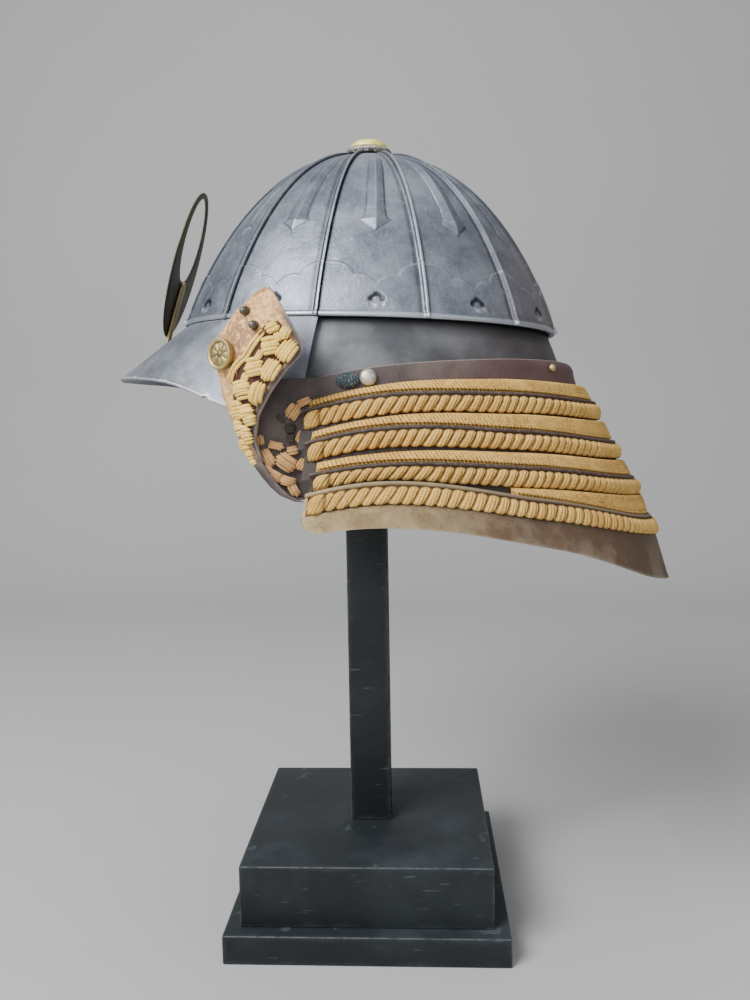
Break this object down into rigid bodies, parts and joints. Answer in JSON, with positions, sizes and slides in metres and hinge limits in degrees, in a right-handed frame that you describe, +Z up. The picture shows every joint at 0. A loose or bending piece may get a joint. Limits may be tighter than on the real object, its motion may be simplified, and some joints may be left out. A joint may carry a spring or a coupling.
{
  "type": "samurai helmet (kabuto) on a plain post stand",
  "caption": "Ribbed iron samurai helmet with laced neck guard, turned-back wings and crescent crest, resting on a plain square post stand.",
  "frame": {"origin": "centre of the underside of the stand's foot", "axes": "+Z up, +X towards the helmet's rear, -Y towards the helmet's left side"},
  "size_m": [0.3418, 0.298, 0.4891],
  "materials": {
    "stand_paint": "dark blue-black paint over wood, worn pale along the edges",
    "bowl_iron": "blue-grey worked iron, hand-polished ribs",
    "band_iron": "dark grey iron with a satin wear",
    "peak_iron": "grey-blue lacquered iron, edge worn to pale metal",
    "silver": "dull silver with a corded rim",
    "gilt": "pale gilt, slightly matt",
    "lacquer": "dark reddish-brown lacquer, half gloss",
    "hem_leather": "tan leather facing going purple-brown at the rear",
    "straw_cord": "straw-coloured braided cord",
    "pale_cord": "pale yellow braided cord",
    "brown_cord": "brown braided cord",
    "dark_iron": "dark domed iron studs",
    "pewter": "dull grey domed metal",
    "dark_cloth": "dark woven cloth",
    "crest_bronze": "dark bronze with a soft sheen",
    "brass": "aged brass"
  },
  "bodies": {
    "root": {"stand_foot": "stand_paint", "stand_block": "stand_paint", "stand_post": "stand_paint", "crown_rest": "stand_paint", "bowl_plate_01": "bowl_iron", "bowl_plate_02": "bowl_iron", "bowl_plate_03": "bowl_iron", "bowl_plate_04": "bowl_iron", "bowl_plate_05": "bowl_iron", "bowl_plate_06": "bowl_iron", "bowl_plate_07": "bowl_iron", "bowl_plate_08": "bowl_iron", "bowl_plate_09": "bowl_iron", "bowl_plate_10": "bowl_iron", "bowl_plate_11": "bowl_iron", "bowl_plate_12": "bowl_iron", "base_band": "band_iron", "peak": "peak_iron", "crown_ring": "silver", "crown_cap": "gilt", "top_lame": "lacquer", "lame_1": "lacquer", "lame_2": "lacquer", "lame_3": "lacquer", "lame_4": "hem_leather", "lace_braid_1": "straw_cord", "lace_band_1": "straw_cord", "lace_braid_2": "straw_cord", "lace_band_2": "straw_cord", "lace_braid_3": "straw_cord", "lace_band_3": "straw_cord", "lace_braid_4": "straw_cord", "lace_band_4": "straw_cord", "wing_lace_left": "pale_cord", "fold_lace_left": "brown_cord", "boss_left": "brass", "wing_stud_1_left": "dark_iron", "wing_stud_2_left": "dark_iron", "neck_rivet_left": "pewter", "back_stud_left": "brass", "cloth_knot_left": "dark_cloth", "wing_lace_right": "pale_cord", "fold_lace_right": "brown_cord", "boss_right": "brass", "wing_stud_1_right": "dark_iron", "wing_stud_2_right": "dark_iron", "neck_rivet_right": "pewter", "back_stud_right": "brass", "cloth_knot_right": "dark_cloth", "crest": "crest_bronze", "crest_holder": "brass"}
  },
  "joints": []
}
